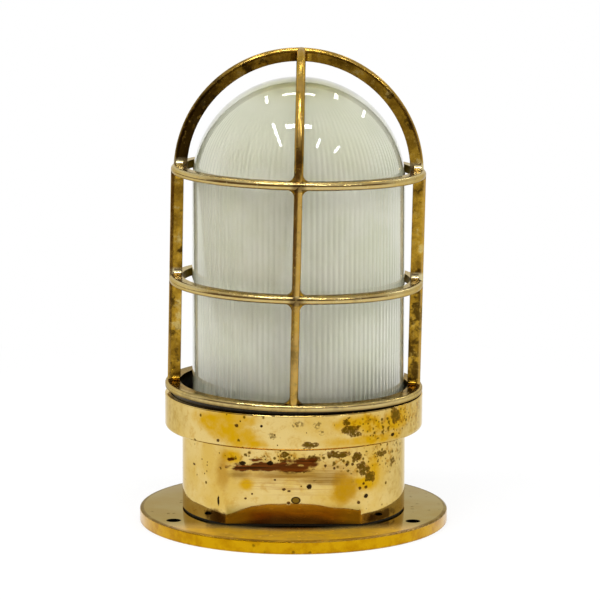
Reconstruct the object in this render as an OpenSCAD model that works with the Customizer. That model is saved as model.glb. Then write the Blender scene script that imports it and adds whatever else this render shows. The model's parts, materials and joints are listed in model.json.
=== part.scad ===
// Brass ship's bulkhead light: flange, flatted housing, fluted globe and cast guard.
// Units are mm, +Z is up and the origin is the centre of the flange's underside.
// The blank flat of the housing faces -Y.

/* [Flange] */
// Diameter of the mounting flange
flange_d = 150; // [146:1:170]
// Thickness of the mounting flange
flange_t = 6.4; // [5:0.1:9]
// Rounding of the flange's upper rim
flange_round = 0.8; // [0.6:0.1:2]
// Diameter of the three fixing holes
fix_hole_d = 6.6; // [5:0.1:7]
// Distance of the fixing holes from the rim, to their centres
fix_inset = 8.8; // [7:0.1:9]
// Diameter of the cable hole in the grommet
cable_d = 10; // [7:0.5:12]

/* [Housing] */
// Thickness of the sheet gasket under the housing
gasket_t = 1; // [0.5:0.1:1.5]
// Diameter of the housing's barrel
housing_d = 108.4; // [104:0.2:112]
// Wall thickness of the housing
housing_wall = 4; // [3:0.5:5]
// Distance of the front flat from the housing's axis
front_flat = 43.6; // [41:0.1:46]
// Height of the barrel below the collar
barrel_h = 39.1; // [38:0.1:60]
// Height of the collar
collar_h = 17; // [16:0.5:24]
// Thickness of the collar's floor, where the globe seats
ledge_t = 4; // [3:0.5:5]
// Wall thickness of the threaded collar
collar_wall = 2.6; // [2:0.1:3]
// Rounding of the collar's lower edge
shoulder_round = 2.2; // [0.8:0.1:2.4]

/* [Globe] */
// Outside diameter of the glass
globe_d = 102.8; // [98:0.2:106]
// Height of the glass from rim to top
globe_h = 163.9; // [150:0.1:180]
// Wall thickness of the glass
globe_wall = 4; // [3:0.5:5]
// Thickness of the glass rim
rim_t = 5; // [4:0.5:5.5]
// Width of the rim outside the wall
rim_lip = 1.8; // [1:0.1:2]
// Number of upright flutes inside the glass
flutes = 110; // [60:1:120]
// Depth of the flutes
flute_depth = 1; // [0.4:0.1:1.4]
// Sideways rest of the globe in its rubber ring
globe_shift = 2.1; // [0:0.1:2.4]
// Thickness of rubber above and below the rim
seal_t = 2; // [1.5:0.1:2.2]
// Least width of rubber round the rim
seal_w = 1.2; // [1:0.02:2]

/* [Guard] */
// Step in from the collar's face to the face of the bars
bar_step = 1.2; // [0:0.1:1.5]
// Step in from the face of the bars to the face of the arches
arch_step = 1.2; // [0:0.1:1.5]
// How far the base ring stands out from the bars
ring_proud = 1.1; // [0:0.1:1.2]
// Clearance between the top of the glass and the arches
dome_gap = 7.6; // [5:0.1:14]
// Width of the upright bars
bar_w = 4; // [3:0.1:5]
// Depth of the upright bars and hoops towards the axis
bar_depth = 6.2; // [5:0.1:6.6]
// Width of the arches
arch_w = 4.4; // [4:0.1:6]
// Depth of the arches towards the axis
arch_depth = 6.4; // [5.6:0.1:7.2]
// Thickness of the two hoops
hoop_t = 4; // [3:0.1:6]
// Height of the upper hoop's middle above the spring of the arches
hoop_rise = 0.8; // [0:0.1:4]
// Distance between the middles of the hoops
hoop_pitch = 53.4; // [40:0.1:60]
// Thickness of the base ring
base_ring_t = 3; // [2.5:0.1:4]
// Thickness of the skirt that screws into the collar
skirt_t = 2.4; // [2:0.1:3]
// Radius of the fillets where the bars cross hoops and each other
web_r = 3.4; // [1.5:0.1:4]
// Lean of the guard, which sits a little askew in its thread
guard_lean = 1.1; // [0:0.1:1.4]
// Gap left between guard and collar on the low side
seat_gap = 0.5; // [0.4:0.1:1.5]

/* [Lampholder] */
// Diameter of the porcelain barrel
holder_d = 36; // [34:0.5:40]
// Height of the lampholder
holder_h = 42; // [40:0.5:48]
// Bore of the screwed shell
shell_bore = 27.4; // [27:0.1:28]
// Width of the lampholder strap
strap_w = 20; // [16:0.5:22]
// Thickness of the lampholder strap
strap_t = 2.5; // [2:0.1:4]
// Height of the pillars that carry the strap
pillar_h = 22; // [18:0.5:24]
// Diameter of the bulb
bulb_d = 60; // [50:1:64]
// Length of the bulb from its contact
bulb_h = 105; // [95:1:115]

/* [Hidden] */
$fn = 96;

brass = [0.80, 0.62, 0.25];
bronze = [0.52, 0.38, 0.18];
rubber = [0.06, 0.06, 0.06];
porcelain = [0.93, 0.92, 0.88];
glass = [0.80, 0.84, 0.78, 0.45];
opal = [0.96, 0.95, 0.92];

// Clearances: a push fit, a running fit, a screw's hole, and how far a cutter runs past a face.
snug = 0.05;
play = 0.3;
loose = 0.2;
over = 1;

// Screws: machine screws that hold the housing, and small ones for the electrical parts.
screw_r = 2.5;
head_r = 4.8;
head_h = 2.2;
screw_in = 10;
small_r = 2;
small_head_r = 3.6;
small_head_h = 2.4;
small_in = 8;
slot_w = 1;
slot_deep = 1.2;

flange_r = flange_d / 2;
foot_round = 0.5;
fix_r = flange_r - fix_inset;
housing_r = housing_d / 2;
inner_r = housing_r - housing_wall;
inner_flat = front_flat - housing_wall;

// Grommet in the flange: a bush with a lip on each side.
bush_wall = 4;
bush_r = cable_d / 2 + bush_wall;
lip_w = 3;
lip_t = 2;
lip_recess = lip_t + loose;

// Bosses for the flange screws, pillars for the strap and a boss for the earth screw, each run
// into the housing's wall.
boss_r = 5;
boss_sink = 2;
boss_at = inner_r - boss_r + boss_sink;
boss_h = screw_in + 3;
pillar_r = 5.5;
pillar_at = inner_r - small_head_r - play;
washer_r = 4.5;
washer_t = 1;
earth_r = washer_r + 1.5;
earth_at = inner_r - washer_r - play;
earth_h = 11;

z_house = flange_t + gasket_t;
z_shoulder = z_house + barrel_h;
z_collar = z_shoulder + collar_h;
z_ledge = z_shoulder + ledge_t;
seal_slack = 0.1;
z_rim = z_ledge + seal_t + seal_slack;
z_seal = z_rim + rim_t + seal_t;
pillar_top = z_house + pillar_h;
strap_top = pillar_top + strap_t;

globe_r = globe_d / 2;
rim_r = globe_r + rim_lip;
ledge_in = min(inner_r, globe_r - globe_wall);
z_dome = z_rim + globe_h - globe_r;
crest_r = globe_r - globe_wall - flute_depth / 2;
dome_in = crest_r - play;

// From the globe's rim outwards: rubber, guard's skirt and collar, with room for the lean.
skirt_gap = 0.7;
skirt_h = collar_h - ledge_t + seat_gap - skirt_gap;
lean_room = skirt_h * sin(guard_lean);
seal_r = rim_r + globe_shift + seal_w;
skirt_in = seal_r + play + lean_room;
skirt_r = skirt_in + skirt_t;
bore_r = skirt_r + play + lean_room;
collar_r = bore_r + collar_wall;
collar_round = 0.6;

// The lean lifts one side of the guard and drops the other, so its seat follows it.
guard_r = collar_r - bar_step;
arch_r = guard_r - arch_step;
ring_r = guard_r + ring_proud;
drop = ring_r * sin(guard_lean);
z_guard = z_collar + seat_gap + drop;
guard_h = z_rim + globe_h + dome_gap + arch_depth - z_guard;
arch_z = guard_h - arch_r;
upper_hoop = arch_z + hoop_rise;
lower_hoop = upper_hoop - hoop_pitch;
seal_lip_w = 1.1;
seal_lip_in = seal_r - seal_lip_w;
seal_lip_h = z_guard - z_seal - play - drop;
ring_low_round = 0.4;
ring_top_round = 1.2;
web_sink = 0.5;
web_blunt = 0.05;
web_inset = 0.4;

// Lampholder: porcelain foot and barrel, with terminals let into the foot.
holder_r = holder_d / 2;
foot_w = 3;
foot_r = holder_r + foot_w;
foot_h = 11.5;
socket_floor = 12;
holder_round = 1.5;
z_socket = strap_top + socket_floor;
shell_t = 0.8;
shell_r = shell_bore / 2 + shell_t;
shell_inset = 2;
shell_h = holder_h - socket_floor - shell_inset;
shell_hole_r = 6.5;
contact_r = 4.5;
contact_h = 3;
holder_fix = 12;
holder_screw_in = 6;
block_w = 8;
block_l = 6;
block_lift = 1;
block_h = foot_h - 2 - block_lift;
block_in = foot_r - block_l - 0.7;
wire_r = 1.4;
wire_in = 2.6;
clamp_r = 1.5;
clamp_head_r = 2.8;
clamp_in = 1.8;

// Bulb: contact tip, screw cap and a neck that widens into the ball.
z_bulb = z_socket + contact_h;
tip_r = 4;
tip_h = 2;
cap_gap = 0.5;
cap_r = shell_bore / 2 - cap_gap;
cap_low = 3;
cap_top = 27;
neck_h = 30;
neck_angle = 24;
ball_r = bulb_d / 2;
ball_z = bulb_h - ball_r;

// Strip from x0 to x1, rounded on its outer lower and upper corners.
module round_strip(x0, x1, z0, z1, r0, r1) {
    translate([x0, z0 + r0]) square([x1 - x0, z1 - z0 - r0 - r1]);
    translate([x0, z0]) square([x1 - x0 - r0, r0]);
    translate([x1 - r0, z0 + r0]) circle(r0);
    translate([x0, z1 - r1]) square([x1 - x0 - r1, r1]);
    translate([x1 - r1, z1 - r1]) circle(r1);
}

// Plan of the housing: a circle with one flat towards -Y.
module flatted(r, flat) {
    intersection() {
        circle(r);
        translate([-r - over, -flat]) square([2 * (r + over), flat + r + over]);
    }
}

module at_bosses() {
    for (a = [45, 135, 225, 315]) rotate(a) translate([boss_at, 0, 0]) children();
}

module at_pillars() {
    for (s = [-1, 1]) translate([s * pillar_at, 0, 0]) children();
}

module at_earth() {
    translate([0, earth_at, 0]) children();
}

// Cutter from the underside up through a plate of thickness t.
module through(r, t) {
    translate([0, 0, -over]) cylinder(r = r, h = t + 2 * over);
}

// Cheese-head screw pointing down, with its head's underside at the origin.
module cheese_screw(r, head, length) {
    difference() {
        union() {
            cylinder(r = head, h = small_head_h);
            translate([0, 0, -length]) cylinder(r = r, h = length + over);
        }
        translate([-head - over, -slot_w / 2, small_head_h - slot_deep])
            cube([2 * (head + over), slot_w, slot_deep + over]);
    }
}

module base_flange() {
    color(brass) difference() {
        rotate_extrude() round_strip(0, flange_r, 0, flange_t, foot_round, flange_round);
        for (a = [90, 210, 330]) rotate(a) translate([fix_r, 0, 0]) through(fix_hole_d / 2, flange_t);
        through(bush_r, flange_t);
        translate([0, 0, -over]) cylinder(r = bush_r + lip_w + loose, h = lip_recess + over);
        at_bosses() through(screw_r + play, flange_t);
        at_bosses() translate([0, 0, -snug])
            cylinder(r1 = head_r + 2 * loose, r2 = screw_r + play, h = head_h + 2 * loose);
    }
}

module base_gasket() {
    color(rubber) translate([0, 0, flange_t]) linear_extrude(gasket_t) difference() {
        intersection() {
            flatted(housing_r - foot_round, front_flat - foot_round);
            union() {
                difference() {
                    circle(housing_r);
                    flatted(inner_r, inner_flat);
                }
                at_bosses() circle(boss_r);
                at_pillars() circle(pillar_r);
                at_earth() circle(earth_r);
            }
        }
        at_bosses() circle(screw_r + play);
    }
}

module housing() {
    color(brass) difference() {
        union() {
            translate([0, 0, z_house]) linear_extrude(barrel_h + over) flatted(housing_r, front_flat);
            rotate_extrude() round_strip(0, collar_r, z_shoulder, z_collar, shoulder_round, collar_round);
        }
        // The wiring space, less the bosses and pillars that stand in it.
        difference() {
            translate([0, 0, z_house - over]) linear_extrude(barrel_h + over)
                flatted(inner_r, inner_flat);
            at_bosses() translate([0, 0, z_house]) through(boss_r, boss_h - over);
            at_pillars() translate([0, 0, z_house]) through(pillar_r, pillar_h - over);
            at_earth() translate([0, 0, z_house]) through(earth_r, earth_h - over);
        }
        // The mouth under the globe, and the threaded bore of the collar.
        translate([0, 0, z_shoulder - over]) linear_extrude(ledge_t + 2 * over)
            flatted(ledge_in, inner_flat);
        translate([0, 0, z_ledge]) cylinder(r = bore_r, h = collar_h);
        at_bosses() translate([0, 0, z_house - over]) cylinder(r = screw_r + snug, h = screw_in + 2 * over);
        at_pillars() translate([0, 0, pillar_top - small_in - over])
            cylinder(r = small_r + snug, h = small_in + 2 * over);
        at_earth() translate([0, 0, z_house + earth_h - small_in])
            cylinder(r = small_r + snug, h = small_in + over);
    }
}

module flange_screws() {
    color(brass) at_bosses() difference() {
        union() {
            translate([0, 0, loose]) cylinder(r1 = head_r, r2 = screw_r, h = head_h);
            translate([0, 0, head_h / 2]) cylinder(r = screw_r, h = z_house + screw_in - head_h / 2);
        }
        translate([-head_r - over, -slot_w / 2, -over])
            cube([2 * (head_r + over), slot_w, slot_deep + over]);
    }
}

module cable_grommet() {
    color(rubber) rotate_extrude() difference() {
        union() {
            translate([0, loose]) square([bush_r + lip_w, lip_t]);
            translate([0, loose]) square([bush_r - snug, flange_t]);
            translate([0, flange_t]) square([bush_r + lip_t, lip_t]);
        }
        translate([-over, -over]) square([cable_d / 2 + over, flange_t + lip_t + 2 * over]);
    }
}

module lampholder_bracket() {
    color(brass) translate([0, 0, pillar_top]) linear_extrude(strap_t) difference() {
        intersection() {
            circle(inner_r - 2 * play);
            square([2 * inner_r, strap_w], center = true);
        }
        at_pillars() circle(small_r + loose);
        for (s = [-1, 1]) translate([s * holder_fix, 0]) circle(small_r + loose);
    }
}

module bracket_screws() {
    color(brass) at_pillars() translate([0, 0, strap_top])
        cheese_screw(small_r, small_head_r, strap_t + small_in);
}

module lampholder_body() {
    color(porcelain) translate([0, 0, strap_top]) difference() {
        union() {
            rotate_extrude() round_strip(0, foot_r, 0, foot_h, foot_round, holder_round);
            rotate_extrude() round_strip(0, holder_r, foot_h - 2, holder_h, foot_round, holder_round);
        }
        translate([0, 0, socket_floor]) cylinder(r = shell_r + snug, h = holder_h);
        translate([0, 0, socket_floor - small_in - over])
            cylinder(r = small_r + snug, h = small_in + 2 * over);
        for (s = [-1, 1]) translate([s * holder_fix, 0, -over])
            cylinder(r = small_r + snug, h = holder_screw_in + 2 * over);
        for (a = [0, 180]) rotate(a) translate([-block_w / 2 - loose, block_in, -over])
            cube([block_w + 2 * loose, foot_r, block_lift + block_h + over]);
    }
}

module lampholder_screws() {
    color(brass) for (s = [-1, 1]) translate([s * holder_fix, 0, pillar_top]) rotate([180, 0, 0])
        cheese_screw(small_r, small_head_r, strap_t + holder_screw_in);
}

module lampholder_shell() {
    color(brass) translate([0, 0, z_socket]) rotate_extrude() difference() {
        translate([shell_hole_r, 0]) square([shell_r - shell_hole_r, shell_h]);
        translate([-over, shell_t]) square([shell_bore / 2 + over, holder_h]);
    }
}

module centre_contact() {
    color(brass) translate([0, 0, z_socket]) {
        translate([0, 0, -small_in]) cylinder(r = small_r, h = small_in + over);
        cylinder(r = contact_r, h = contact_h);
    }
}

module at_blocks() {
    for (a = [0, 180]) rotate(a) translate([0, block_in, strap_top + block_lift]) children();
}

module terminal_blocks() {
    color(brass) at_blocks() difference() {
        translate([-block_w / 2, 0, 0]) cube([block_w, block_l, block_h]);
        translate([0, over, block_h / 2]) rotate([-90, 0, 0]) cylinder(r = clamp_r + snug, h = block_l);
        translate([0, wire_in, 0]) through(wire_r, block_h);
    }
}

module terminal_screws() {
    color(brass) at_blocks() translate([0, block_l, block_h / 2]) rotate([-90, 0, 0])
        cheese_screw(clamp_r, clamp_head_r, clamp_in);
}

module earth_washer() {
    color(brass) at_earth() translate([0, 0, z_house + earth_h]) difference() {
        cylinder(r = washer_r, h = washer_t);
        through(small_r + loose, washer_t);
    }
}

module earth_screw() {
    color(brass) at_earth() translate([0, 0, z_house + earth_h + washer_t])
        cheese_screw(small_r, small_head_r, small_in);
}

module bulb() {
    color(opal) translate([0, 0, z_bulb]) rotate_extrude() {
        square([tip_r, tip_h]);
        translate([0, tip_h / 2]) square([cap_r - tip_h, cap_low]);
        translate([0, cap_low]) square([cap_r, cap_top - cap_low]);
        polygon([[0, cap_top - over], [cap_r + cap_gap, cap_top - over], [cap_r + 2 * cap_gap, neck_h],
            [ball_r * cos(neck_angle), ball_z - ball_r * sin(neck_angle)], [0, ball_z]]);
        intersection() {
            translate([0, ball_z]) circle(ball_r);
            translate([0, over]) square([ball_r + over, bulb_h]);
        }
    }
}

// Upright flutes: crest and hollow points by turns round the inside of the glass.
module fluted() {
    polygon([for (i = [0 : 2 * flutes - 1])
        let (r = crest_r + (i % 2 == 0 ? flute_depth : 0), a = 180 * i / flutes)
        [r * cos(a), r * sin(a)]]);
}

module glass_globe() {
    color(glass) translate([globe_shift, 0, 0]) difference() {
        rotate_extrude() intersection() {
            union() {
                translate([0, z_rim]) square([rim_r, rim_t]);
                translate([0, z_rim]) square([globe_r, z_dome - z_rim]);
                translate([0, z_dome]) circle(globe_r);
            }
            translate([0, z_rim]) square([2 * globe_r, globe_h + over]);
        }
        translate([0, 0, z_rim - over]) linear_extrude(z_dome - z_rim + over) fluted();
        translate([0, 0, z_dome]) rotate_extrude() {
            translate([0, -2 * over]) square([dome_in, 2 * over]);
            intersection() {
                circle(dome_in);
                square(globe_r);
            }
        }
    }
}

module rim_gasket() {
    color(rubber) difference() {
        translate([0, 0, z_rim - seal_t]) cylinder(r = seal_r, h = z_seal - z_rim + seal_t);
        translate([0, 0, z_rim - seal_t]) through(ledge_in + play, seal_t);
        translate([globe_shift, 0, z_rim]) cylinder(r = rim_r, h = rim_t);
        translate([globe_shift, 0, z_rim]) cylinder(r = globe_r + snug, h = rim_t + seal_t + over);
    }
}

// Section of a guard bar: flat sides and a half-round outer edge at radius r.
module bar_section(r, w, depth) {
    translate([r - depth, -w / 2]) square([depth - w / 2, w]);
    translate([r - w / 2, 0]) circle(w / 2);
}

module hoop(z) {
    translate([0, 0, z]) rotate_extrude() bar_section(guard_r, hoop_t, bar_depth);
}

// Two upright bars that end in the upper hoop, joined by a half circle over the globe.
module arch() {
    translate([0, 0, arch_z]) rotate([90, 0, 0]) rotate_extrude(angle = 180)
        bar_section(arch_r, arch_w, arch_depth);
    for (a = [0, 180]) rotate(a) translate([0, 0, base_ring_t - over])
        linear_extrude(upper_hoop - base_ring_t + over) bar_section(guard_r, bar_w, bar_depth);
}

// Plan of a corner fillet, sunk a little into both of the bars that it joins.
module web_plan() {
    difference() {
        translate([-web_sink, -web_sink]) square(web_r + web_sink - 2 * web_blunt);
        translate([web_r - web_blunt, web_r - web_blunt]) circle(web_r);
    }
}

// Fillets on both sides of bars of width w where they meet a hoop's face at height z, above it
// (up = 1) or below it (up = -1).
module crossing(z, up, w) {
    for (a = [0, 90, 180, 270], s = [0, 1]) rotate(a) mirror([0, s, 0])
        translate([guard_r - bar_depth + web_inset, w / 2, z]) mirror([0, 0, up < 0 ? 1 : 0])
        rotate([90, 0, 90]) linear_extrude(bar_depth - w / 2 - 2 * web_inset) web_plan();
}

// Fillets between the two arches at the crown.
module crown() {
    for (a = [0, 90, 180, 270]) rotate(a)
        translate([arch_w / 2, arch_w / 2, guard_h - arch_depth + web_inset])
        linear_extrude(arch_depth - arch_w / 2 - 2 * web_inset) web_plan();
}

module guard() {
    color(bronze) translate([0, 0, z_guard]) rotate([0, guard_lean, 0]) {
        rotate_extrude() {
            difference() {
                translate([seal_lip_in, -skirt_h]) square([skirt_r - seal_lip_in, skirt_h + over]);
                translate([seal_lip_in - over, -skirt_h - over])
                    square([skirt_in - seal_lip_in + over, skirt_h + over - seal_lip_h]);
            }
            round_strip(seal_lip_in, ring_r, 0, base_ring_t, ring_low_round, ring_top_round);
        }
        arch();
        rotate(90) arch();
        for (z = [lower_hoop, upper_hoop]) hoop(z);
        crossing(base_ring_t, 1, bar_w);
        for (z = [lower_hoop, upper_hoop]) crossing(z - hoop_t / 2, -1, bar_w);
        crossing(lower_hoop + hoop_t / 2, 1, bar_w);
        crossing(upper_hoop + hoop_t / 2, 1, arch_w);
        crown();
    }
}

base_flange();
base_gasket();
housing();
flange_screws();
cable_grommet();
lampholder_bracket();
bracket_screws();
lampholder_body();
lampholder_screws();
lampholder_shell();
centre_contact();
terminal_blocks();
terminal_screws();
earth_screw();
earth_washer();
bulb();
glass_globe();
rim_gasket();
guard();
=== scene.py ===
import json
import math

import bmesh
import bpy
from mathutils import Euler, Matrix, Vector


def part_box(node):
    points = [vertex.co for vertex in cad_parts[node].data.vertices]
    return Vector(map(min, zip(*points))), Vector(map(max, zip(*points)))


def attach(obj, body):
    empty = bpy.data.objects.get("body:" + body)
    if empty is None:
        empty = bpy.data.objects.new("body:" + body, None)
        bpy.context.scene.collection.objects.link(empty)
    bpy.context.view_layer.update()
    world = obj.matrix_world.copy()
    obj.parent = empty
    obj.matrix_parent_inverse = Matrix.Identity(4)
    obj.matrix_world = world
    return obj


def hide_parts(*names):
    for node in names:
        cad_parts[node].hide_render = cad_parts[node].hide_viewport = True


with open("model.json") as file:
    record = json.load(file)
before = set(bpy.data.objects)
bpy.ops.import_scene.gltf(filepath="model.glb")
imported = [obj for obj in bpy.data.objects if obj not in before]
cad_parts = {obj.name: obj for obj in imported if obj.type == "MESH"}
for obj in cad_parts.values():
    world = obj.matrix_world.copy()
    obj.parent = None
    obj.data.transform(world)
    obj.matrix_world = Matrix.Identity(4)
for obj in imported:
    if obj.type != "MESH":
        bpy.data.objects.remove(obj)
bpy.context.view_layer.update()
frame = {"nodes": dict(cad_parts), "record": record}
scene = bpy.context.scene
scene.view_settings.view_transform = "Standard"

MM = 0.001

# Places and sizes that the looks follow, in metres, from the frame.
turn = next(j for j in frame["record"]["behaviour"]["joints"] if j["name"] == "guard_turn")
holes = next(m for m in frame["record"]["mounts"] if m["name"] == "fixing_holes")["dims"]
globe_low, globe_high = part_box("glass_globe")
guard_low, guard_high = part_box("guard")

# Globe: the rim stands out from the wall, and the flutes are inside.
RIM_LIP = 1.8 * MM
RIM_T = 5 * MM
WALL = 4 * MM
FLUTES = 110
FLUTE_DEPTH = 0.8 * MM
POINTS_PER_FLUTE = 6
STEPS = FLUTES * POINTS_PER_FLUTE
RIM_Z = globe_low[2]
RIM_R = (globe_high[1] - globe_low[1]) / 2
GLOBE_X = (globe_low[0] + globe_high[0]) / 2
GLOBE_R = RIM_R - RIM_LIP
DOME_Z = globe_high[2] - GLOBE_R

# Guard: its seat and lean, the radius of its bars and arches, and its hoops along its own axis.
GUARD_Z = turn["pos_m"][2]
GUARD_LEAN = math.atan2(turn["axis"][0], turn["axis"][2])
BAR_R = (guard_high[1] - guard_low[1]) / 2 - 1.1 * MM
ARCH_R = BAR_R - 1.2 * MM
ARCH_Z = guard_high[2] - GUARD_Z - ARCH_R
HOOPS = (ARCH_Z + 0.8 * MM, ARCH_Z - 52.6 * MM)
HOOP_T = 4 * MM
RING_T = 3 * MM

FOOT_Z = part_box("housing")[0][2]
FLANGE_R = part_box("base_flange")[1][0]
BULB_CAP_H = 27 * MM

# Camera: a long lens in front of the light and a little above it, with the photo's slight roll.
LENS = 192.2
CAMERA_PLACE = (0.0029, -1.5303, 0.3598)
LOOK_DOWN = 0.163
ROLL = 0.003


def add_camera():
    data = bpy.data.cameras.new("camera")
    data.sensor_width = 36.0
    data.lens = LENS
    data.clip_start = 0.05
    data.clip_end = 50.0
    cam = bpy.data.objects.new("camera", data)
    cam.location = CAMERA_PLACE
    look = Euler((math.pi / 2 - LOOK_DOWN, 0, 0)).to_matrix() @ Matrix.Rotation(ROLL, 3, "Z")
    cam.rotation_euler = look.to_euler()
    scene.collection.objects.link(cam)
    scene.camera = cam


# Node helpers
class Net:
    """A small wrapper that makes nodes and links them in one line each."""

    def __init__(self, tree):
        self.tree = tree

    def node(self, kind, **props):
        n = self.tree.nodes.new(kind)
        for k, v in props.items():
            setattr(n, k, v)
        return n

    def put(self, socket, value):
        if isinstance(value, bpy.types.NodeSocket):
            self.tree.links.new(value, socket)
        else:
            socket.default_value = value

    def fill(self, node, sockets):
        """Links or sets several sockets of a node by name."""
        for name, value in sockets.items():
            self.put(node.inputs[name], value)

    def math(self, op, a, b=0.0, c=0.0):
        n = self.node("ShaderNodeMath", operation=op)
        for s, v in zip(n.inputs, (a, b, c)):
            self.put(s, v)
        return n.outputs[0]

    def times(self, *values):
        total = values[0]
        for v in values[1:]:
            total = self.math("MULTIPLY", total, v)
        return total

    def plus(self, *values):
        total = values[0]
        for v in values[1:]:
            total = self.math("ADD", total, v)
        return total

    def most(self, *values):
        top = values[0]
        for v in values[1:]:
            top = self.math("MAXIMUM", top, v)
        return top

    def flip(self, value):
        return self.math("SUBTRACT", 1.0, value)

    def size(self, value):
        return self.math("ABSOLUTE", value)

    def vec(self, op, a, b=(0, 0, 0)):
        n = self.node("ShaderNodeVectorMath", operation=op)
        self.put(n.inputs[0], a)
        self.put(n.inputs[1], b)
        return n.outputs["Value"] if op in ("LENGTH", "DOT_PRODUCT") else n.outputs[0]

    def ramp(self, value, low, high, to_low=0.0, to_high=1.0):
        n = self.node("ShaderNodeMapRange", interpolation_type="SMOOTHSTEP")
        for s, v in zip(n.inputs, (value, low, high, to_low, to_high)):
            self.put(s, v)
        return n.outputs[0]

    def band(self, value, start, full, last, end):
        """1 from full to last, and 0 before start and after end."""
        return self.times(self.ramp(value, start, full), self.ramp(value, end, last))

    def mix(self, factor, a, b):
        n = self.node("ShaderNodeMix", data_type="RGBA")
        self.put(n.inputs[0], factor)
        self.put(n.inputs[6], a)
        self.put(n.inputs[7], b)
        return n.outputs[2]

    def blend(self, factor, a, b):
        n = self.node("ShaderNodeMix", data_type="FLOAT")
        self.put(n.inputs[0], factor)
        self.put(n.inputs[2], a)
        self.put(n.inputs[3], b)
        return n.outputs[0]

    def noise_node(self, vector, scale, detail, rough):
        n = self.node("ShaderNodeTexNoise")
        self.fill(n, {"Vector": vector, "Scale": scale, "Detail": detail, "Roughness": rough})
        return n

    def noise(self, vector, scale, detail=3.0, rough=0.5):
        return self.noise_node(vector, scale, detail, rough).outputs["Fac"]

    def ragged(self, vector, scale, amount):
        """Noise about zero, which added to a distance breaks up a mark's edge."""
        return self.math("MULTIPLY_ADD", self.noise(vector, scale, 5.0, 0.6), amount, -amount / 2)

    def warped(self, vector, scale, amount):
        """A place pushed about by noise, which makes straight edges wander."""
        cloud = self.noise_node(vector, scale, 3.0, 0.6).outputs["Color"]
        push = self.vec("SUBTRACT", cloud, (0.5, 0.5, 0.5))
        return self.vec("ADD", vector, self.vec("MULTIPLY", push, (amount, amount, amount)))

    def cells(self, vector, scale):
        """Distance from the middle of a cell, and a chance that is the same all over the cell."""
        n = self.node("ShaderNodeTexVoronoi")
        self.fill(n, {"Vector": vector, "Scale": scale})
        return n.outputs["Distance"], self.split(n.outputs["Color"])[0]

    def split(self, vector):
        n = self.node("ShaderNodeSeparateXYZ")
        self.put(n.inputs[0], vector)
        return n.outputs

    def join(self, x, y, z):
        n = self.node("ShaderNodeCombineXYZ")
        for s, v in zip(n.inputs, (x, y, z)):
            self.put(s, v)
        return n.outputs[0]

    def bump(self, height):
        """Normal of a surface raised by a height in metres."""
        n = self.node("ShaderNodeBump")
        self.fill(n, {"Strength": 1.0, "Distance": 1.0, "Height": height})
        return n.outputs[0]


class Paint:
    """A colour that is built up in coats, each laid over the last where its cover says."""

    def __init__(self, net, colour):
        self.net = net
        self.colour = colour

    def coat(self, cover, colour, share=1.0):
        if share < 1.0:
            cover = self.net.times(cover, share)
        self.colour = self.net.mix(cover, self.colour, colour)


def srgb(*rgb):
    """Colour as 0 to 255 on a screen, turned into the linear value that nodes take."""
    linear = [((c / 255 + 0.055) / 1.055) ** 2.4 if c > 10 else c / 255 / 12.92 for c in rgb]
    return (*linear, 1.0)


def new_material(name):
    m = bpy.data.materials.new(name)
    m.use_nodes = True
    net = Net(m.node_tree)
    shader = m.node_tree.nodes["Principled BSDF"]
    return m, net, shader, net.node("ShaderNodeTexCoord").outputs["Object"]


def face_way(net):
    """The way that a face looks, in the object's own axes."""
    return net.node("ShaderNodeTexCoord").outputs["Normal"]


# Colours of the brass, from polished to burnt
WHITE = (1.0, 1.0, 1.0, 1.0)
PALE = srgb(222, 194, 122)
WARM = srgb(212, 177, 88)
GOLD = srgb(204, 156, 10)
DEEP = srgb(168, 118, 14)
OLIVE = srgb(106, 79, 8)
BROWN = srgb(94, 42, 6)
BLACK = srgb(38, 22, 8)

# Marks on the front of the housing, each (x, z, half width, half height) in mm.
GOLD_MARKS = [
    (-38, 58, 8, 5), (-31, 55, 9, 6), (-23, 52, 9, 5), (-18, 49.5, 7, 3), (33, 50, 15, 2.6),
    (27, 58.5, 9, 3.5), (48, 58, 8, 5), (25.2, 25.5, 5.2, 6.8), (33, 27.6, 6, 3.5), (38.5, 32, 4.5, 7),
    (-22, 26.7, 3.4, 2.6), (-30, 40, 5, 3), (38, 57, 8, 5), (-28, 60.5, 9, 3.5),
]
# The first deep mark is a deep-gold patch; the second paints shade along the left edge of the flat.
DEEP_MARKS = [(25.2, 25.5, 5, 6.5), (-33.5, 33, 2.6, 10)]
# Painted shade: darker brass at the housing's sides, where they turn away.
SIDE_SHADE = [(54, 56, 15, 10), (56, 30, 12, 17), (-60, 56, 8, 10)]
STREAKED = [(2, 27.5, 21, 5.5), (17, 31.8, 11, 1.8)]
HAZY = [(-2, 31, 24, 3.6), (20, 33.6, 12, 3.6)]
SMOKED = [(3, 31.6, 17, 2), (13, 28.8, 8.5, 2.6), (-26, 31.6, 5, 2)]
SPECKLED = [
    (47, 57, 14, 6.5), (38, 57, 10, 6), (31, 58, 8, 4), (45, 38, 8, 7), (31, 36, 7, 6),
    (-10, 40, 20, 2.5), (20, 38, 12, 5),
]
FAINT_MARKS = [
    (2, 59.6, 2.8, 1.4), (-10, 53.4, 1.8, 1.4), (11, 59, 2, 1.5), (13.2, 55.5, 1.6, 1.2),
    (-14, 39.9, 2.6, 0.6), (27.9, 28.8, 1.1, 1), (27.3, 32.9, 1, 0.9), (9.6, 28.6, 1.2, 0.6),
]
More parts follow.
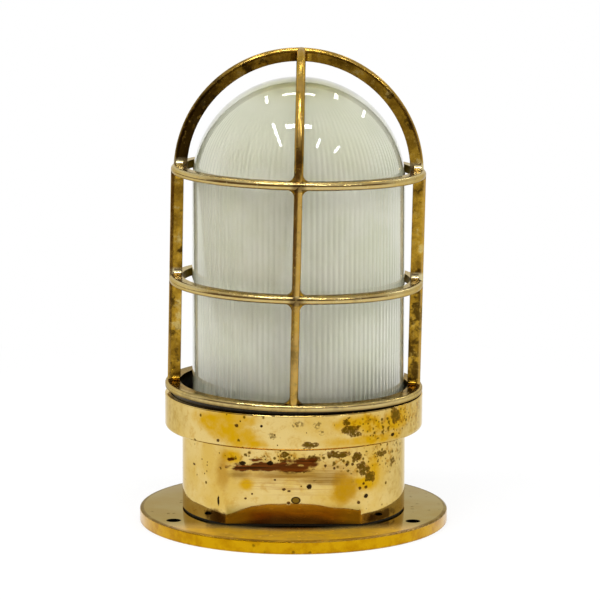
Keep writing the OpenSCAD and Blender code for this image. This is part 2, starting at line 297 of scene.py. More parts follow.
OLIVE_MARKS = [
    (26.5, 55.6, 3.9, 2.1), (29.4, 53.4, 2.6, 1.5), (24.5, 59.5, 1.6, 1.4), (48.3, 59, 2, 3.2),
    (8.1, 49.6, 3.4, 1.5), (9.5, 38.8, 2.6, 1.8), (-4, 40.9, 2.2, 1.2), (21, 41.2, 5.6, 1.5),
    (29.8, 40.4, 1.9, 2), (32.2, 35.6, 2, 2), (34, 33, 2.2, 2.6), (36.3, 29.8, 2.6, 2.6),
    (42, 40, 2.2, 1.2), (47.5, 34.5, 1, 1.4),
]
OVAL_STAINS = [(1.2, 18.8, 2.05, 1.55)]
# The brown marks lay a painted reflection: the dark band that the flat reflects across it.
BROWN_MARKS = [
    (-21.5, 35, 10, 1.7), (-10, 35.3, 8, 2.4), (-1.5, 35.2, 8, 3.6), (5.5, 37.2, 5.5, 2.6),
    (9.6, 39, 3.2, 1.6), (-29.5, 39, 1.8, 1.2), (-18, 38.6, 3, 0.9),
]
# Dark brown marks beside the flat, near its foot.
FOOT_SIDE_MARKS = [(-36.5, 9.8, 5.4, 3.2), (41.5, 9.6, 6.5, 2.4)]
BROWN_DOTS = [
    (34.5, 25, 0.8, 0.8), (31.6, 24.9, 0.7, 0.7), (31, 17.9, 0.8, 0.8), (33.3, 26.9, 0.6, 0.6),
    (-2.2, 17.4, 0.8, 0.7), (-4.5, 24.1, 0.9, 0.6), (-2, 23.3, 0.8, 0.5), (-19.6, 21.9, 0.5, 0.5),
    (-22.7, 19.7, 0.6, 0.5), (-8.7, 28.7, 0.6, 0.4), (-47.6, 32.5, 0.6, 0.6), (25.3, 36.3, 0.7, 0.7),
    (28.1, 36.5, 0.7, 0.7), (15.2, 35.7, 0.6, 0.6), (19.4, 34.5, 0.6, 0.6), (-35.5, 49.5, 0.7, 0.7),
    (-26.7, 57.7, 0.9, 0.8),
]
BLACK_DOTS = [
    (-24.2, 36.8, 1.6, 1), (-11, 36.9, 1.6, 1.1), (7.5, 25.5, 1.2, 1.2), (34.6, 20.7, 1, 1.1),
    (-35.7, 17.9, 0.5, 2.4), (-15, 58.3, 0.6, 0.6), (47, 50.4, 0.9, 0.9),
]


def front_marks(net, place, spots, soft, ragged=0.0):
    """Largest cover of a list of soft ellipses, as seen from the front."""
    covers = []
    for x, z, half_w, half_h in spots:
        off = net.vec("SUBTRACT", place, (x * MM, 0, z * MM))
        off = net.vec("MULTIPLY", off, (1 / (half_w * MM), 0, 1 / (half_h * MM)))
        away = net.plus(net.vec("LENGTH", off), ragged)
        covers.append(net.ramp(away, 1 + soft, 1 - soft))
    return net.most(*covers)


def speckle(net, point, near, scale, thick, thin):
    """Small pits of tarnish, thick in the places given and thin elsewhere."""
    distance, chance = net.cells(point, scale)
    limit = net.math("MULTIPLY_ADD", near, thick - thin, thin)
    return net.times(net.math("LESS_THAN", chance, limit), net.ramp(distance, 0.45, 0.22))


# Housing: the coats of its colour come first, in the order in which they are laid.
class HousingPaint(Paint):
    """Paint with the places and noises that several coats on the housing share."""

    def __init__(self, net, point):
        super().__init__(net, PALE)
        self.point = point
        self.x, y, self.z = net.split(point)
        self.front = net.ramp(y, -8 * MM, -16 * MM)
        self.back = net.flip(self.front)
        self.flat = net.times(self.front, net.ramp(net.size(self.x), 33 * MM, 31 * MM))
        self.wide = net.ragged(point, 70.0, 2.6)
        self.fine = net.ragged(point, 420.0, 1.5)
        self.eaten = net.warped(point, 260.0, 3.2 * MM)
        self.cloud = net.noise(point, 45.0, 4.0, 0.55)
        self.streak = net.noise(net.vec("MULTIPLY", point, (0.04, 0.04, 1.0)), 900.0, 4.0, 0.6)

    def marks(self, spots, soft, ragged=0.0):
        return self.net.times(self.front, front_marks(self.net, self.point, spots, soft, ragged))

    def eaten_marks(self, spots, soft, ragged):
        return self.net.times(self.front, front_marks(self.net, self.eaten, spots, soft, ragged))


def clean_brass(paint):
    """Polished brass in clouds, with painted shade at the sides and golden in patches."""
    net, point = paint.net, paint.point
    mottle = net.noise(point, 260.0, 5.0, 0.65)
    paint.coat(net.ramp(paint.cloud, 0.40, 0.66), WARM)
    paint.coat(net.ramp(mottle, 0.50, 0.72, 0.0, 0.55), srgb(196, 152, 60))
    # Painted shade: darker, mottled brass at the sides.
    side_shade = paint.marks(SIDE_SHADE, 0.6, net.times(paint.wide, 0.5))
    paint.coat(net.times(side_shade, net.ramp(mottle, 0.35, 0.65, 0.25, 0.6)), srgb(168, 136, 56))

    gold_back = net.times(paint.back, net.ramp(net.noise(point, 24.0, 5.0, 0.6), 0.56, 0.68))
    gold = net.most(paint.marks(GOLD_MARKS, 0.5, paint.wide), gold_back)
    uneven = net.ramp(net.noise(point, 190.0, 4.0, 0.6), 0.25, 0.6, 0.65, 1.0)
    paint.coat(net.times(gold, uneven), GOLD)
    # A deep-gold patch, and painted shade along the left edge of the flat.
    paint.coat(paint.marks(DEEP_MARKS, 0.6, paint.wide), DEEP, 0.6)


def rubbed_streaks(paint):
    """Rubbed lines, haze and smoke along the flat. Returns the cover of the lines."""
    net = paint.net
    lines = net.times(paint.marks(STREAKED, 0.6), net.ramp(paint.streak, 0.48, 0.66))
    paint.coat(lines, srgb(176, 132, 72), 0.6)
    haze = net.times(paint.marks(HAZY, 0.7, paint.wide), net.ramp(paint.streak, 0.36, 0.6, 0.5, 1.0))
    paint.coat(haze, srgb(164, 118, 40), 0.6)
    smoke = paint.marks(SMOKED, 0.6, net.times(paint.wide, 0.3))
    smoke = net.times(smoke, net.ramp(paint.streak, 0.36, 0.6, 0.6, 1.0))
    paint.coat(smoke, srgb(136, 98, 30), 0.75)
    return lines


def small_pits(paint):
    """Pits of tarnish with mould between them. Returns the cover of the pits."""
    net, point = paint.net, paint.point
    near_back = net.times(paint.back, net.ramp(net.noise(point, 18.0, 3.0, 0.5), 0.54, 0.66))
    near = net.most(paint.marks(SPECKLED, 0.5, paint.wide), near_back)
    large = speckle(net, point, near, 430.0, 0.42, 0.012)
    pits = net.most(large, speckle(net, point, near, 800.0, 0.34, 0.008))
    mould = net.times(near, net.ramp(net.noise(point, 380.0, 4.0, 0.6), 0.51, 0.60))
    paint.coat(mould, DEEP, 0.7)
    paint.coat(pits, OLIVE, 0.94)
    return pits


def olive_stains(paint):
    """Stains with eaten edges, faint and full, and one neat oval. Returns how rough they are."""
    net, point = paint.net, paint.point
    faint = paint.eaten_marks(FAINT_MARKS, 0.35, paint.fine)
    faint = net.times(faint, net.ramp(net.noise(point, 700.0, 3.0, 0.6), 0.42, 0.60))
    paint.coat(faint, OLIVE, 0.75)

    olive = paint.eaten_marks(OLIVE_MARKS, 0.2, paint.fine)
    olive = net.times(olive, net.ramp(net.noise(point, 800.0, 3.0, 0.6), 0.30, 0.48))
    rim = net.times(olive, net.flip(olive), 4.0)
    paint.coat(olive, OLIVE, 0.97)
    paint.coat(rim, BROWN, 0.5)

    oval = paint.marks(OVAL_STAINS, 0.35)
    rimmed = net.mix(net.ramp(oval, 0.8, 1.0), srgb(60, 42, 10), srgb(118, 90, 26))
    paint.coat(net.ramp(oval, 0.1, 0.4), rimmed)
    return net.most(olive, net.times(faint, 0.5))


def painted_reflection_streak(paint):
    """The long red-brown streak across the flat, a painted reflection of a dark band. Returns its cover."""
    net = paint.net
    long_grain = net.ragged(net.vec("MULTIPLY", paint.point, (0.35, 1.0, 1.0)), 330.0, 2.8)
    brown = paint.eaten_marks(BROWN_MARKS, 0.28, long_grain)
    streak_colour = net.mix(net.ramp(paint.streak, 0.36, 0.62), srgb(48, 18, 2), srgb(104, 48, 8))
    paint.coat(brown, streak_colour, 0.98)
    return brown


def foot_band_and_side_marks(paint):
    """Painted reflection: a dark band along the foot of the flat, browner in its middle and olive towards
    its ends; and dark brown marks beside the flat near its foot.
    """
    net = paint.net
    low = net.ramp(paint.z, FOOT_Z + 11 * MM, FOOT_Z + 4 * MM)
    foot_band = net.times(paint.flat, low, net.ramp(paint.cloud, 0.3, 0.6, 0.95, 0.75))
    aside = net.ramp(net.size(paint.x), 15 * MM, 29 * MM)
    # Painted reflection of the dark band that the rolled-in foot shows.
    paint.coat(foot_band, net.mix(aside, srgb(120, 70, 34), srgb(138, 116, 40)))
    dark_marks = net.times(paint.eaten_marks(FOOT_SIDE_MARKS, 0.3, paint.fine), net.flip(paint.flat))
    paint.coat(dark_marks, srgb(84, 46, 8), 0.85)


def dark_dots(paint):
    """Single brown and black dots. Returns their cover."""
    edge = paint.net.ragged(paint.point, 900.0, 1.0)
    brown = paint.marks(BROWN_DOTS, 0.35, edge)
    paint.coat(brown, srgb(76, 42, 10), 0.9)
    black = paint.marks(BLACK_DOTS, 0.22, edge)
    paint.coat(black, BLACK, 0.98)
    return paint.net.most(brown, black)


def rolled_foot(net, x, z):
    """Height of the front flat, which polishing has rolled in towards its foot, most in the middle."""
    start = FOOT_Z + 16 * MM
    steep = 9.4
    below = net.math("MAXIMUM", net.math("SUBTRACT", start, z), 0.0)
    worn = net.times(net.ramp(x, -32 * MM, -8 * MM), net.ramp(x, 8 * MM, 20 * MM, 1.0, 0.42))
    return net.times(below, below, worn, -steep / 2)


def housing_brass():
    m, net, shader, point = new_material("housing_brass")
    paint = HousingPaint(net, point)
    clean_brass(paint)
    lines = rubbed_streaks(paint)
    pits = small_pits(paint)
    olive = olive_stains(paint)
    brown = painted_reflection_streak(paint)
    foot_band_and_side_marks(paint)
    dots = dark_dots(paint)

    dark_marks = net.most(olive, dots, net.times(pits, 0.7), net.times(brown, 0.3))
    shine = net.ramp(net.noise(point, 150.0, 4.0, 0.6), 0.35, 0.75, 0.045, 0.11)
    shine = net.plus(shine, net.times(lines, 0.06))
    foot = net.times(paint.flat, rolled_foot(net, paint.x, paint.z))
    waves = net.times(net.noise(point, 34.0, 2.0, 0.4), 0.55 * MM)
    dents = net.times(net.noise(point, 240.0, 3.0, 0.5), 0.012 * MM)
    hollows = net.times(dark_marks, -0.03 * MM)
    net.fill(shader, {
        "Base Color": paint.colour,
        "Metallic": 1.0,
        "Specular Tint": (0.86, 0.80, 0.62, 1.0),
        "Roughness": net.math("MULTIPLY_ADD", dark_marks, 0.34, shine),
        "Normal": net.bump(net.plus(foot, waves, dents, hollows)),
    })
    return m


# Flange
def dark_hole_walls(net, point):
    """1 on the walls of the fixing holes, which are painted near black."""
    out = holes["pcd_mm"] / 2 * MM
    hole_r = holes["hole_r_mm"] * MM
    covers = []
    for i in range(holes["count"]):
        a = math.radians(90 + 360 * i / holes["count"])
        off = net.vec("SUBTRACT", point, (out * math.cos(a), out * math.sin(a), 0))
        away = net.vec("LENGTH", net.vec("MULTIPLY", off, (1, 1, 0)))
        covers.append(net.ramp(away, hole_r + 0.5 * MM, hole_r + 0.1 * MM))
    return net.most(*covers)


def flange_ground(net, point, top, cloud, grain):
    """Grey-gold top and yellow rim, which are painted reflection, as the two faces reflect different things;
    with specks, a dark lower edge and near-black hole walls.
    """
    face = net.mix(net.ramp(cloud, 0.38, 0.66), srgb(186, 166, 112), srgb(178, 150, 86))
    rim = net.mix(net.ramp(grain, 0.40, 0.66), srgb(204, 156, 12), srgb(186, 134, 6))
    specks = speckle(net, point, 0.0, 380.0, 0.0, 0.05)
    low = net.ramp(net.split(point)[2], 1.4 * MM, 0.3 * MM)
    paint = Paint(net, rim)
    # Painted reflection: grey-gold on the top over the rim's saturated yellow.
    paint.coat(top, face)
    paint.coat(specks, OLIVE, 0.55)
    paint.coat(net.times(low, net.ramp(grain, 0.36, 0.58)), DEEP, 0.6)
    paint.coat(dark_hole_walls(net, point), srgb(22, 15, 8))
    return paint, specks


def flange_front_sheen(paint, point, top, out, grain):
    """Dull golden coat on the front of the top, a painted sheen in place of the bright reflection there, and
    a brown line along its edge. Returns the coat's cover.
    """
    net = paint.net
    smear = net.noise(net.vec("MULTIPLY", point, (0.6, 1.0, 1.0)), 120.0, 5.0, 0.6)
    in_front = net.ramp(net.split(point)[1], -34 * MM, -56 * MM)
    where = net.times(net.ramp(out, 46 * MM, 58 * MM), in_front, top)
    front_sheen = net.times(where, net.ramp(smear, 0.34, 0.66, 0.86, 1.0))
    # Painted sheen: golden colour on the front of the top.
    paint.coat(front_sheen, net.mix(net.ramp(grain, 0.36, 0.66), srgb(216, 166, 28), srgb(198, 150, 30)))
    line = net.times(top, net.ramp(out, FLANGE_R - 2.2 * MM, FLANGE_R - 1.4 * MM))
    paint.coat(net.times(line, net.ramp(smear, 0.3, 0.6, 0.35, 0.8)), srgb(104, 66, 8))
    return front_sheen


def rounded_edge(net, out):
    """Height of the flange's top, which falls away towards its edge."""
    start = 50 * MM
    steep = 3.0
    past = net.math("MAXIMUM", net.math("SUBTRACT", out, start), 0.0)
    return net.times(past, past, -steep / 2)


def flange_brass():
    m, net, shader, point = new_material("flange_brass")
    x, y = net.split(point)[:2]
    out = net.vec("LENGTH", net.join(x, y, 0.0))
    top = net.ramp(net.split(face_way(net))[2], 0.3, 0.8)
    cloud = net.noise(point, 34.0, 4.0, 0.55)
    grain = net.noise(point, 150.0, 5.0, 0.6)
    paint, specks = flange_ground(net, point, top, cloud, grain)
    front_sheen = flange_front_sheen(paint, point, top, out, grain)

    # The painted sheen is rougher and less metallic; the top and rim also get different specular tints as
    # part of the painted reflection.
    top_rough = net.math("MULTIPLY_ADD", front_sheen, 0.2, net.ramp(cloud, 0.35, 0.7, 0.04, 0.10))
    rough = net.blend(top, net.ramp(grain, 0.35, 0.7, 0.16, 0.26), top_rough)
    waves = net.times(net.noise(point, 26.0, 2.0, 0.4), 0.35 * MM)
    turning = net.noise(net.vec("MULTIPLY", point, (1, 1, 40)), 60.0, 2.0, 0.5)
    rounded = net.times(rounded_edge(net, out), top)
    net.fill(shader, {
        "Base Color": paint.colour,
        "Metallic": net.math("MULTIPLY_ADD", front_sheen, -0.75, 1.0),
        "Specular Tint": net.mix(top, WHITE, (0.62, 0.58, 0.46, 1.0)),
        "Roughness": net.math("MULTIPLY_ADD", specks, 0.25, rough),
        "Normal": net.bump(net.plus(rounded, waves, net.times(turning, 0.012 * MM))),
    })
    return m


# Guard
def guard_place(net, point):
    """Depth below the guard's outer face, place across and along its leaning axis and the way outwards."""
    x, y, z = net.split(net.vec("SUBTRACT", point, (0, 0, GUARD_Z)))
    cos, sin = math.cos(GUARD_LEAN), math.sin(GUARD_LEAN)
    across = net.math("SUBTRACT", net.times(x, cos), net.times(z, sin))
    along = net.plus(net.times(x, sin), net.times(z, cos))
    over = net.math("MAXIMUM", net.math("SUBTRACT", along, ARCH_Z), 0.0)
    spoke = net.join(across, y, over)
    hoop_top = HOOPS[0] + HOOP_T / 2
    face = net.ramp(along, hoop_top, hoop_top + 0.5 * MM, BAR_R, ARCH_R)
    depth = net.math("SUBTRACT", face, net.vec("LENGTH", spoke))
    return depth, across, along, net.vec("NORMALIZE", spoke)


def guard_zones(net, across, along):
    """Covers of the hoops and ring, their undersides, their crossings and the corners over them, for painted
    shade under the hoops and at the crossings and a painted highlight on the corners.
    """
    in_bar = net.ramp(net.size(across), 4.6 * MM, 1.6 * MM)
    at_leg = net.ramp(net.size(across), 40 * MM, 46 * MM)
    level = [net.ramp(along, RING_T + 0.6 * MM, RING_T)]
    under_shade = [net.ramp(along, 1.2 * MM, 0.3 * MM)]
    crossing_shade = []
    corner_highlight = []
    for hoop in HOOPS:
        up = net.math("SUBTRACT", along, hoop)
        level.append(net.ramp(net.size(up), 0.62 * HOOP_T, 0.5 * HOOP_T))
        under_shade.append(net.band(up, -0.75 * HOOP_T, -0.55 * HOOP_T, -0.42 * HOOP_T, -0.2 * HOOP_T))
        crossing_shade.append(net.times(in_bar, net.ramp(net.size(up), 0.6 * HOOP_T, 0.2 * HOOP_T)))
        over = net.band(up, 0.25 * HOOP_T, 0.45 * HOOP_T, 1.0 * HOOP_T, 1.5 * HOOP_T)
        corner_highlight.append(net.times(at_leg, over))
    return [net.most(*covers) for covers in (level, under_shade, crossing_shade, corner_highlight)]


def arch_patina_and_shade(net, point, along):
    """Cover of the dark patina on the arches, which on the left also paints the shade of that side's darker
    reflection: all of the left, some of the right, none on the bars below.
    """
    x = net.split(net.warped(point, 60.0, 14 * MM))[0]
    left = net.ramp(x, 0.0, -46 * MM, 0.2, 0.94)
    right = net.times(net.ramp(x, 8 * MM, 20 * MM), net.ramp(x, 38 * MM, 26 * MM, 0.0, 0.45))
    patchy = net.ramp(net.noise(point, 75.0, 4.0, 0.6), 0.40, 0.58, 0.5, 1.0)
    patchy = net.most(patchy, net.ramp(x, -30 * MM, -42 * MM))
    return net.times(net.most(left, right), patchy, net.ramp(along, ARCH_Z + 3 * MM, ARCH_Z + 6 * MM))


def guard_ground(net, point, along, grain, patina_and_shade):
    """Cast brass in clouds, with dark patches, most on the lower bars, patina that on the left arch is
    painted shade too, and bright flecks.
    """
    cloud = net.noise(point, 120.0, 5.0, 0.62)
    patch = net.noise(net.vec("ADD", point, (0.31, 0.12, 0.2)), 95.0, 5.0, 0.65)
    patch = net.plus(patch, net.ramp(along, HOOPS[1], 0.6 * HOOPS[1], 0.0, 0.06))
    flecks = net.noise(net.vec("ADD", point, (0.17, 0.4, 0.05)), 330.0, 4.0, 0.7)
    paint = Paint(net, srgb(188, 148, 46))
    paint.coat(net.ramp(cloud, 0.38, 0.64), srgb(136, 102, 26))
    paint.coat(net.ramp(cloud, 0.42, 0.32, 0.0, 0.8), srgb(208, 184, 112))
    paint.coat(net.ramp(patch, 0.55, 0.64, 0.0, 0.85), srgb(58, 38, 10))
    paint.coat(net.ramp(grain, 0.58, 0.72, 0.0, 0.55), srgb(80, 56, 16))
    # Patina, and painted shade on the left arch.
    paint.coat(patina_and_shade, srgb(46, 30, 6))
    paint.coat(net.ramp(flecks, 0.57, 0.66, 0.0, 0.6), srgb(178, 146, 66))
    return paint


def guard_wear(paint, point, depth, patina_and_shade, zones):
    """Worn outer faces, pale on the hoops and ring and golden elsewhere, which is wear and painted
    highlight, strongest at the front; the back is painted dark as shade, the undersides and crossings get
    painted shade and the corners over the hoops a painted highlight. Returns the cover of the wear and
    painted highlight.
    """
    net = paint.net
    level, under_shade, crossing_shade, corner_highlight = zones
    # 1 at the front, 0.25 at the back: it weights the wear and painted highlight, and paints shade at the
    #                                   back.
    front_wear_back_shade = net.ramp(net.split(point)[1], 34 * MM, 2 * MM, 0.25, 1.0)
    uneven = net.ramp(net.noise(point, 120.0, 4.0, 0.6), 0.32, 0.60, 0.25, 1.0)
    bare = net.math("MULTIPLY_ADD", patina_and_shade, -0.7, 1.0)
    worn = net.times(net.ramp(depth, 1.7 * MM, 0.5 * MM), uneven, bare, front_wear_back_shade)
    bright = net.mix(level, srgb(196, 160, 86), srgb(204, 182, 122))
    # Wear and painted highlight on the outer faces and on the hoops and ring.
    paint.coat(worn, bright, 0.9)
    paint.coat(net.times(level, net.ramp(depth, 3.2 * MM, 1.2 * MM), front_wear_back_shade), bright, 0.55)
    # Painted shade: darker brass at the back.
    paint.coat(net.ramp(front_wear_back_shade, 1.0, 0.25, 0.0, 0.7), srgb(62, 44, 16))
    # Painted shade under the hoops and ring and at the bar crossings, and a painted highlight on the corners
    # over the hoops at the legs.
    paint.coat(under_shade, srgb(104, 74, 22), 0.6)
    paint.coat(crossing_shade, srgb(84, 54, 8), 0.72)
    paint.coat(corner_highlight, srgb(216, 204, 160), 0.8)
    return worn


def guard_brass():
    m, net, shader, point = new_material("guard_brass")
    depth, across, along, outwards = guard_place(net, point)
    grain = net.noise(point, 420.0, 4.0, 0.65)
    patina_and_shade = arch_patina_and_shade(net, point, along)
    paint = guard_ground(net, point, along, grain, patina_and_shade)
    worn = guard_wear(paint, point, depth, patina_and_shade, guard_zones(net, across, along))

    # Inner faces are rougher and painted dark as shade, and the skirt in the gap under the ring is painted
    # black and less metallic as the shade in that gap.
    inner = net.ramp(net.vec("DOT_PRODUCT", face_way(net), outwards), -0.3, -0.7)
    gap_shade = net.times(net.ramp(along, 0.8 * MM, -0.4 * MM), net.ramp(depth, 0.6 * MM, 1.6 * MM))
    paint.coat(inner, srgb(30, 21, 9), 0.95)
    paint.coat(gap_shade, srgb(14, 11, 8), 0.97)
    rough = net.math("MULTIPLY_ADD", worn, -0.02, net.ramp(grain, 0.3, 0.7, 0.14, 0.30))
    cast = net.times(net.noise(point, 95.0, 2.0, 0.5), 0.06 * MM)
    net.fill(shader, {
        "Base Color": paint.colour,
        "Metallic": net.math("MULTIPLY_ADD", gap_shade, -0.9, 1.0),
        "Specular Tint": (0.66, 0.58, 0.42, 1.0),
        "Roughness": net.math("MULTIPLY_ADD", inner, 0.15, rough),
        "Normal": net.bump(net.plus(cast, net.times(grain, 0.005 * MM))),
    })
    return m


# Other materials
def plain_brass():
    m, net, shader, point = new_material("plain_brass")
    cloud = net.noise(point, 160.0, 4.0, 0.6)
    net.fill(shader, {
        "Base Color": net.mix(net.ramp(cloud, 0.4, 0.7), srgb(204, 162, 80), srgb(150, 106, 36)),
        "Metallic": 1.0,
        "Roughness": net.ramp(cloud, 0.3, 0.7, 0.22, 0.42),
        "Normal": net.bump(net.times(net.noise(point, 900.0, 2.0, 0.5), 0.02 * MM)),
    })
    return m


def black_rubber():
    m, net, shader, point = new_material("black_rubber")
    cloud = net.noise(point, 220.0, 4.0, 0.6)
    net.fill(shader, {
        "Base Color": net.mix(net.ramp(cloud, 0.4, 0.7), srgb(14, 13, 12), srgb(28, 26, 23)),
        "Roughness": net.ramp(cloud, 0.3, 0.7, 0.62, 0.85),
        "Normal": net.bump(net.times(net.noise(point, 1500.0, 2.0, 0.5), 0.02 * MM)),
    })
    return m


def porcelain():
    m, net, shader, point = new_material("porcelain")
    cloud = net.noise(point, 120.0, 3.0, 0.5)
    net.fill(shader, {
        "Base Color": net.mix(net.ramp(cloud, 0.4, 0.7), srgb(238, 235, 226), srgb(222, 216, 202)),
        "Roughness": net.ramp(cloud, 0.3, 0.7, 0.12, 0.22),
        "Normal": net.bump(net.times(cloud, 0.03 * MM)),
    })
    return m


def opal_glass():
    """Opal bulb with a dull metal screw cap."""
    m, net, shader, point = new_material("opal_glass")
    cap_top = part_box("bulb")[0][2] + BULB_CAP_H
    cap = net.ramp(net.split(point)[2], cap_top + 0.2 * MM, cap_top - 0.2 * MM)
    cloud = net.noise(point, 90.0, 3.0, 0.5)
    white = net.mix(net.ramp(cloud, 0.4, 0.7), srgb(244, 242, 236), srgb(236, 232, 222))
    net.fill(shader, {
        "Base Color": net.mix(cap, white, srgb(186, 176, 156)),
        "Metallic": cap,
        "Roughness": net.ramp(cloud, 0.3, 0.7, 0.24, 0.34),
    })
    return m


# The globe's glass bends light little, so that what is behind it stays in its place.
GLASS_BEND = 1.15


def clear_glass():
    """Outside of the globe and its dome: smooth pressed glass, green where it is seen edge on."""
    m, net, shader, point = new_material("clear_glass")
    cloud = net.noise(point, 60.0, 3.0, 0.5)
    facing = net.node("ShaderNodeLayerWeight")
    facing.inputs["Blend"].default_value = 0.5
    edge_on = net.ramp(facing.outputs["Facing"], 0.62, 0.98)
    crown = net.ramp(net.split(point)[2], DOME_Z + 0.78 * GLOBE_R, DOME_Z + 0.99 * GLOBE_R)
    face = net.mix(net.ramp(cloud, 0.3, 0.7), srgb(252, 253, 248), srgb(248, 250, 240))
    face = net.mix(crown, face, srgb(216, 214, 172))
    tint = net.mix(crown, srgb(150, 150, 98), srgb(118, 118, 62))
    net.fill(shader, {
        "Base Color": net.mix(edge_on, face, tint),
        "Transmission Weight": 1.0,
        "IOR": GLASS_BEND,
        "Coat Weight": 1.0,
        "Coat Roughness": 0.02,
        "Coat IOR": 1.5,
        "Roughness": net.ramp(cloud, 0.3, 0.7, 0.01, 0.03),
        "Normal": net.bump(net.times(net.noise(point, 45.0, 2.0, 0.4), 0.03 * MM)),
    })
    return m


def fluted_glass():
    """Inside of the globe: the flutes' skin is dull from the mould and from dust, so it scatters."""
    m, net, shader, point = new_material("fluted_glass")
    z = net.split(point)[2]
    cloud = net.noise(point, 60.0, 4.0, 0.55)
    colour = net.mix(net.ramp(cloud, 0.3, 0.7), srgb(248, 248, 234), srgb(241, 242, 224))
    dome = net.ramp(z, DOME_Z, DOME_Z + 0.8 * GLOBE_R)
    net.fill(shader, {
        "Base Color": net.mix(dome, colour, srgb(226, 227, 208)),
        "Transmission Weight": net.ramp(z, RIM_Z, RIM_Z + 60 * MM, 0.5, 0.2),
        "IOR": GLASS_BEND,
        "Roughness": net.ramp(cloud, 0.3, 0.7, 0.42, 0.52),
    })
    return m


# Globe: profiles are lists of (radius, height, share of the flutes' full depth).
OUTSIDE, INSIDE = 0, 1


def arc(radius, share):
    """Points of the dome over a wall of that radius, with a share that depends on the angle up it."""
    points = []
    for degrees in range(3, 90, 3):
        a = math.radians(degrees)
        points.append((radius * math.cos(a), DOME_Z + radius * math.sin(a), share(degrees) * math.cos(a)))
    return points


def outer_profile():
    top = RIM_Z + RIM_T
    rim = [(RIM_R - 0.6 * MM, RIM_Z), (RIM_R, RIM_Z + 0.6 * MM), (RIM_R, top - 0.8 * MM),
           (RIM_R - 0.5 * MM, top - 0.2 * MM), (GLOBE_R + 0.5 * MM, top), (GLOBE_R, top + 0.5 * MM)]
    wall = [(GLOBE_R, top + 0.5 * MM + (DOME_Z - top - 0.5 * MM) * i / 10) for i in range(1, 11)]
    return [(r, z, 0.0) for r, z in rim + wall] + arc(GLOBE_R, lambda degrees: 0.0)


def inner_profile():
    """The flutes are shallower up the wall and die out by 60 degrees up the dome."""
    r = GLOBE_R - WALL
    low = RIM_Z + 1 * MM
    wall = [(r, RIM_Z + 0.4 * MM, 1.0)]
    wall += [(r, low + (DOME_Z - low) * i / 12, 1.0 - 0.35 * i / 12) for i in range(13)]
    return wall + arc(r - 0.2 * MM, lambda degrees: 0.65 * max(0.0, min(1.0, (60 - degrees) / 44)))


def globe_ring(bm, r, z, share):
    """Ring of points, in which the flutes are shallow round hollows between narrow crests."""
    made = []
    for i in range(STEPS):
        a = 2 * math.pi * i / STEPS
        crest = 1 - abs(2 * (i % POINTS_PER_FLUTE) / POINTS_PER_FLUTE - 1)
        out = r + share * FLUTE_DEPTH * (0.5 - crest ** 1.5)
        made.append(bm.verts.new((out * math.cos(a) + GLOBE_X, out * math.sin(a), z)))
    return made


def add_face(bm, corners, side):
    f = bm.faces.new(corners)
    f.material_index = side
    f.smooth = True


def add_skin(bm, rings, side):
    for low, high in zip(rings, rings[1:]):
        for i in range(STEPS):
            j = (i + 1) % STEPS
            add_face(bm, (low[i], low[j], high[j], high[i]), side)


def add_cap(bm, ring, z, side):
    top = bm.verts.new((GLOBE_X, 0, z))
    for i in range(STEPS):
        pair = (ring[i], ring[(i + 1) % STEPS])
        add_face(bm, (pair[::-1] if side == INSIDE else pair) + (top,), side)


def make_globe():
    bm = bmesh.new()
    outer = [globe_ring(bm, *p) for p in outer_profile()]
    inner = [globe_ring(bm, *p) for p in inner_profile()]
    add_skin(bm, outer, OUTSIDE)
    add_skin(bm, [r[::-1] for r in inner], INSIDE)
    add_skin(bm, [inner[0], outer[0]], INSIDE)
    add_cap(bm, outer[-1], DOME_Z + GLOBE_R, OUTSIDE)
    add_cap(bm, inner[-1], DOME_Z + GLOBE_R - WALL - 0.2 * MM, INSIDE)
    mesh = bpy.data.meshes.new("globe")
    bm.to_mesh(mesh)
    bm.free()
    mesh.materials.append(clear_glass())
    mesh.materials.append(fluted_glass())
    piece = bpy.data.objects.new("fluted_globe", mesh)
    scene.collection.objects.link(piece)
    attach(piece, "globe")
    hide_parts("glass_globe")


# Stage: a white table in a room that is white behind the object and dark behind the camera.
DARK_ROOM = (0.14, 0.09, 0.055, 1.0)
CEILING = (0.66, 0.66, 0.66, 1.0)
SKY_LIGHT = 0.62
FLOOR_HALF = 6.0


def ray_kinds(net):
    """1 for rays from the camera or through glass, and 1 for rays off metal."""
    path = net.node("ShaderNodeLightPath")
    plain = net.most(path.outputs["Is Camera Ray"], path.outputs["Is Transmission Ray"])
    return plain, path.outputs["Is Glossy Ray"]


def mix_shaders(net, factor, a, b):
    n = net.node("ShaderNodeMixShader")
    for s, v in zip(n.inputs, (factor, a.outputs[0], b.outputs[0])):
        net.put(s, v)
    return n.outputs[0]


def add_world():
    """Plain soft light, and the room for the rays that show it."""
    world = bpy.data.worlds.new("world")
    scene.world = world
    world.use_nodes = True
    net = Net(world.node_tree)
    light = world.node_tree.nodes["Background"]
    net.fill(light, {"Color": (0.95, 0.97, 1.0, 1.0), "Strength": SKY_LIGHT})
    plain, glossy = ray_kinds(net)
    x, y, up = net.split(net.node("ShaderNodeTexCoord").outputs["Generated"])
    pale = net.mix(net.ramp(x, 0.25, 0.95), WHITE, (0.78, 0.78, 0.76, 1.0))
    walls = net.mix(net.ramp(y, -0.15, 0.2), DARK_ROOM, pale)
    room = net.mix(net.ramp(up, 0.35, 0.7), walls, CEILING)
    seen = net.node("ShaderNodeBackground")
    net.fill(seen, {"Color": net.mix(glossy, WHITE, room), "Strength": 1.0})
    surface = mix_shaders(net, net.most(plain, glossy), light, seen)
    net.put(world.node_tree.nodes["World Output"].inputs["Surface"], surface)


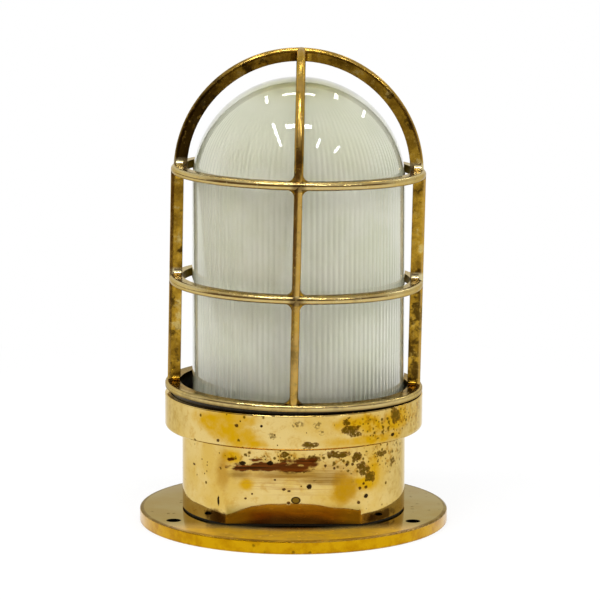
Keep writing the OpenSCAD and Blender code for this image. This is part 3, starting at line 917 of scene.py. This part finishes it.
def floor_white():
    """White table that keeps the object's shadow near it and, in metal, ends in front of the camera."""
    m, net, shader, point = new_material("floor_white")
    x, y = net.split(point)[:2]
    net.fill(shader, {"Base Color": (0.88, 0.88, 0.87, 1.0), "Roughness": 0.9})
    plain, glossy = ray_kinds(net)
    table_end = net.math("MULTIPLY_ADD", x, -2.5, -1.52)
    past_end = net.ramp(net.math("SUBTRACT", y, table_end), 0.12, -0.12)
    room = net.mix(net.ramp(y, -2.1, -2.6), DARK_ROOM, (0.4, 0.33, 0.2, 1.0))
    glow = net.node("ShaderNodeEmission")
    net.fill(glow, {"Color": net.mix(net.times(glossy, past_end), WHITE, room), "Strength": 1.0})
    share = net.ramp(net.vec("LENGTH", point), 0.12, 0.5, 0.78, 1.0)
    surface = mix_shaders(net, net.times(net.most(plain, glossy), share), shader, glow)
    net.put(m.node_tree.nodes["Material Output"].inputs["Surface"], surface)
    return m


def add_floor():
    mesh = bpy.data.meshes.new("floor")
    bm = bmesh.new()
    bmesh.ops.create_grid(bm, x_segments=2, y_segments=2, size=FLOOR_HALF)
    bm.to_mesh(mesh)
    bm.free()
    mesh.materials.append(floor_white())
    floor = bpy.data.objects.new("floor", mesh)
    scene.collection.objects.link(floor)


def add_lamp(name, place, aim, size, power, in_metal):
    data = bpy.data.lights.new(name, "AREA")
    data.shape = "RECTANGLE"
    data.size, data.size_y = size
    data.energy = power
    lamp = bpy.data.objects.new(name, data)
    lamp.location = place
    lamp.rotation_euler = (Vector(aim) - Vector(place)).to_track_quat("-Z", "Y").to_euler()
    lamp.visible_glossy = in_metal
    scene.collection.objects.link(lamp)


# Soft boxes that light the object from both sides, each (name, place, power).
SOFT_BOXES = [("left_box", (-1.5, -0.9, 1.1), 14), ("right_box", (1.5, -0.7, 1.0), 10)]
BOX_SIZE = (0.9, 1.2)
OBJECT_MIDDLE = (0, 0, 0.12)

# Ceiling tubes that glint in the glass dome, each (x, y, length along x, length along y).
TUBES = [
    (-0.76, 1.04, 0.08, 0.6), (0, 1, 0.72, 0.16), (0.87, 1.6, 0.1, 0.6), (1.95, 2.2, 0.12, 1.2),
    (-0.77, -1.05, 0.1, 1.3), (0, -0.67, 0.8, 0.18), (0.81, -1.45, 0.1, 0.6), (1.85, -1.48, 0.16, 0.6),
]
TUBE_Z = 2.0
TUBE_POWER_BEHIND = 34
TUBE_POWER_IN_FRONT = 80


def add_lamps():
    for name, place, power in SOFT_BOXES:
        add_lamp(name, place, OBJECT_MIDDLE, BOX_SIZE, power, False)
    for i, (x, y, w, d) in enumerate(TUBES):
        power = (TUBE_POWER_BEHIND if y > 0 else TUBE_POWER_IN_FRONT) * w * d
        add_lamp("tube_%d" % i, (x, y, TUBE_Z), (x, y, 0), (w, d), power, True)


def dress_nodes():
    """Gives each CAD node its material. The glass globe is replaced, so it needs none."""
    brass = plain_brass()
    rubber = black_rubber()
    looks = {
        "housing": housing_brass(), "base_flange": flange_brass(), "guard": guard_brass(),
        "lampholder_body": porcelain(), "bulb": opal_glass(),
        "base_gasket": rubber, "cable_grommet": rubber, "rim_gasket": rubber,
    }
    for name, node in frame["nodes"].items():
        if name != "glass_globe":
            for slot in node.material_slots:
                slot.material = looks.get(name, brass)


add_camera()
add_world()
add_floor()
add_lamps()
dress_nodes()
make_globe()
